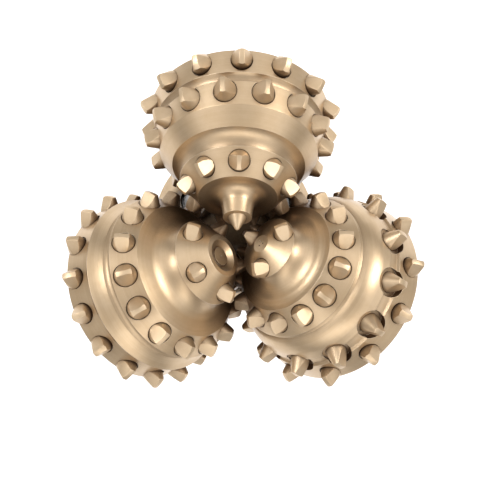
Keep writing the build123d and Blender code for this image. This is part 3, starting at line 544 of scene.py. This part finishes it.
def insert_mesh(diameter, projection, width=0.0):
    """One insert, its seat at zero, pointing along Z: a chisel with its crest along X, or,
    where the crest has no width, a plain point."""
    radius = diameter / 2
    crest = TOP_SHARE * radius if width else POINT_RADIUS
    flank = FLAT_START if width else POINT_START
    profile = [
        (-GRIP, 0), (-GRIP, radius - GRIP_CHAMFER), (GRIP_CHAMFER - GRIP, radius),
        (flank, radius), (projection - CROWN, crest),
        (projection - CROWN * (CROWN_KNEE ** 2), crest * CROWN_KNEE), (projection, 0),
    ]
    piece = lathe("insert", profile, INSERT_STEPS)
    piece.data.transform(UPRIGHT)
    if width:
        # two flats that lean in to the crest
        wide = radius + 3
        half = width / 2
        foot = FLAT_START - (wide - radius) * (projection - FLAT_START) / (radius - half)
        top = projection + 0.2
        outline = [
            (-wide, -GRIP - 1), (wide, -GRIP - 1), (wide, foot), (half, top), (-half, top),
            (-wide, foot),
        ]
        points = [(-wide, y, z) for y, z in outline] + [(wide, y, z) for y, z in outline]
        faces = [tuple(range(5, -1, -1)), tuple(range(6, 12))]
        faces += [(k, (k + 1) % 6, (k + 1) % 6 + 6, k + 6) for k in range(6)]
        cut(piece, new_piece("wedge", points, faces), "INTERSECT")
    bevel = piece.modifiers.new("edges", "BEVEL")
    bevel.width = EDGE_BEVEL
    bevel.segments = 2
    bevel.limit_method = "ANGLE"
    bevel.angle_limit = math.radians(BEVEL_ANGLE)
    apply_modifiers(piece)
    return piece


def drill(shell, radius, matrices, depth):
    """Cuts a row of round holes into a cone shell."""
    profile = [(-depth, 0), (-depth, radius), (CUTTER_TOP, radius), (CUTTER_TOP, 0)]
    cutter = lathe("cutter", profile, INSERT_STEPS)
    cut(shell, copies("cutters", cutter, [matrix @ UPRIGHT for matrix in matrices]))


def finish_piece(piece, place, body, material, node, sharp):
    """Puts a piece in its place, shades it, and lets it stand for its CAD node."""
    piece.data.transform(place)
    for face in piece.data.polygons:
        face.use_smooth = True
    piece.data.set_sharp_from_angle(angle=math.radians(sharp))
    piece.data.materials.clear()
    piece.data.materials.append(material)
    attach(piece, body)
    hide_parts(node)


def cone(index):
    """A cone shell with its holes, and its rows of inserts."""
    outline = OUTLINES[index]
    number = str(index + 1)
    body = "cone_" + number + "_body"
    place = journal_matrix(index)

    profile = [outline[0][:2]]
    for start, end in zip(outline[:-1], outline[1:]):
        profile += bowed(start[:2], end[:2], end[2])
    shell = lathe("cone_shell_" + number, profile + list(BORE), CONE_STEPS)

    for land, share, count, first, lean, diameter, projection, width in ROWS[index]:
        matrices = row_matrices(*seat(outline, land, share, lean), count, first)
        pocket = POCKET_DEPTH if land == "trimmer" else 0
        if pocket:
            drill(shell, POCKET_RADIUS, matrices, pocket)
        drill(shell, diameter / 2 + EDGE_RING, matrices, pocket + RING_DEPTH)
        drill(shell, diameter / 2 + HOLE_GAP, matrices, HOLE_FLOOR)
        row = copies(
            land + "_row_" + number, insert_mesh(diameter, projection, width), matrices)
        finish_piece(
            row, place, body, insert_gold, land + "_inserts_" + number,
            INSERT_SHARP)

    # holes for the heel's buttons, half a pitch on from the gauge row
    count, first = ROWS[index][-1][2:4]
    heel = (outline[-1], BORE[0] + (0, "heel"))
    drill(
        shell, HEEL_HOLE,
        row_matrices(*seat(heel, "heel", HEEL_SHARE, 0), count, first + 0.5 * 360 / count),
        HEEL_DEPTH)

    nose = outline[0][0]
    if index == 0:
        tip = [row_matrix(nose, 0, math.pi, 0)]
        drill(shell, APEX_HOLE, tip, HOLE_FLOOR)
        point = copies("apex_point", insert_mesh(APEX_DIAMETER, APEX_PROJECTION), tip)
        finish_piece(
            point, place, body, insert_gold, "apex_insert_1", INSERT_SHARP)
    if DOTS[index]:
        circle = DOT_CIRCLE if DOTS[index] > 1 else 0
        spots = row_matrices(nose, circle, math.pi, DOTS[index], 90)
        drill(shell, DOT_RADIUS, spots, DOT_DEPTH)
    finish_piece(
        shell, place, body, cone_golds[index], "cone_" + number, CONE_SHARP)


for index in range(3):
    cone(index)


def thread():
    """The pin's tapered thread, a helical ridge with a rounded crest."""
    points = []
    faces = []
    count = int((THREAD_END - THREAD_START) / THREAD_PITCH * THREAD_STEPS)
    for step in range(count + 1):
        angle = 2 * math.pi * step / THREAD_STEPS
        height = THREAD_START + THREAD_PITCH * step / THREAD_STEPS
        fade = min(1.0, step / THREAD_FADE_IN, (count - step) / THREAD_FADE_OUT)
        root = PIN_BASE_RADIUS - (PIN_LENGTH - height) * PIN_TAPER
        for across, up in THREAD_SECTION:
            radius = root + up * THREAD_HEIGHT * max(fade, 0.02)
            z = height + across * THREAD_PITCH
            points.append((radius * math.cos(angle), radius * math.sin(angle), z))
    size = len(THREAD_SECTION)
    for step in range(count):
        for k in range(size):
            a = step * size + k
            b = step * size + (k + 1) % size
            faces.append((a, b, b + size, a + size))
    faces.append(tuple(range(size - 1, -1, -1)))
    faces.append(tuple(count * size + k for k in range(size)))
    piece = new_piece("pin_thread", points, faces)
    for face in piece.data.polygons:
        face.use_smooth = True
    piece.data.materials.append(steel)
    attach(piece, "bit_body")


thread()

# stage

FLOOR_SIZE = 6.0
# how much of the floor's white is its own, for camera, glossy and transmission rays alone
FLOOR_GLOW = 0.42


def floor():
    """A plain pale sheet under the pin, far larger than the view."""
    size = FLOOR_SIZE
    corners = [(-size, -size, 0), (size, -size, 0), (size, size, 0), (-size, size, 0)]
    piece = new_piece("floor", corners, [(0, 1, 2, 3)])
    n = Nodes("floor_pale")
    n.put(n.shader.inputs["Base Color"], colour(0.86, 0.86, 0.86))
    n.put(n.shader.inputs["Roughness"], 0.95)
    n.put(n.shader.inputs["Specular IOR Level"], 0.1)
    seen = n.new("ShaderNodeLightPath")
    kinds = n.math("ADD", seen.outputs["Is Camera Ray"], seen.outputs["Is Glossy Ray"])
    kinds = n.math("ADD", kinds, seen.outputs["Is Transmission Ray"], clamp=True)
    n.put(n.shader.inputs["Emission Color"], colour(1, 1, 1))
    n.put(n.shader.inputs["Emission Strength"], n.math("MULTIPLY", kinds, FLOOR_GLOW))
    piece.data.materials.append(n.material)


def studio():
    """A soft ring of light round a dimmer top, over a greyer horizon."""
    world = bpy.data.worlds.new("studio")
    bpy.context.scene.world = world
    world.use_nodes = True
    tree = world.node_tree
    tree.nodes.clear()
    sky = tree.nodes.new("ShaderNodeBackground")
    facing = tree.nodes.new("ShaderNodeTexCoord")
    split = tree.nodes.new("ShaderNodeSeparateXYZ")
    out = tree.nodes.new("ShaderNodeOutputWorld")
    total = tree.nodes.new("ShaderNodeMath")
    total.operation = "SUBTRACT"
    # from and to which rise of the direction, and from and to which strength
    ring = (0.25, 0.60, 0.27, 1.25)
    top = (0.84, 0.98, 0.0, 0.70)
    for socket, steps in zip(total.inputs, (ring, top)):
        rise = tree.nodes.new("ShaderNodeMapRange")
        rise.interpolation_type = "SMOOTHSTEP"
        for part, number in zip(rise.inputs[1:5], steps):
            part.default_value = number
        tree.links.new(split.outputs[2], rise.inputs[0])
        tree.links.new(rise.outputs[0], socket)
    sky.inputs[0].default_value = (0.97, 0.97, 1.0, 1)
    tree.links.new(facing.outputs["Generated"], split.inputs[0])
    tree.links.new(total.outputs[0], sky.inputs[1])
    tree.links.new(sky.outputs[0], out.inputs[0])


def lamp(name, place, target, size, power, tint):
    data = bpy.data.lights.new(name, "AREA")
    data.shape = "RECTANGLE"
    data.size, data.size_y = size
    data.energy = power
    data.color = tint
    thing = bpy.data.objects.new(name, data)
    thing.location = place
    aim = Vector(target) - Vector(place)
    thing.rotation_euler = aim.to_track_quat("-Z", "Y").to_euler()
    bpy.context.collection.objects.link(thing)


floor()
studio()
MIDDLE = (0, 0, 0.34)
lamp("front", (0.10, -0.80, 1.35), MIDDLE, (1.2, 0.5), 2.4, (1.0, 0.98, 0.94))
lamp("right", (0.85, 0.50, 1.25), MIDDLE, (0.4, 0.5), 7.5, (1.0, 0.98, 0.96))
lamp("left", (-0.85, 0.45, 1.25), MIDDLE, (0.4, 0.5), 5.5, (0.97, 0.98, 1.0))

# the camera, close above the cones and leaning a little from the bit's axis
CAMERA_TURNS = ((-0.048, "Z"), (0.0477, "Y"), (0.0905, "X"))
CAMERA_PLACE = Vector((-0.00259, 0.00002, 0.4381))
look = Matrix.Identity(3)
for angle, axis in CAMERA_TURNS:
    look = look @ Matrix.Rotation(angle, 3, axis)
back = look.transposed()
data = bpy.data.cameras.new("camera")
data.sensor_width = 36.0
data.lens = 39.3
camera = bpy.data.objects.new("camera", data)
camera.matrix_world = Matrix.Translation(CROSSING + back @ CAMERA_PLACE) @ back.to_4x4()
bpy.context.collection.objects.link(camera)
bpy.context.scene.camera = camera
bpy.context.scene.view_settings.view_transform = "Standard"
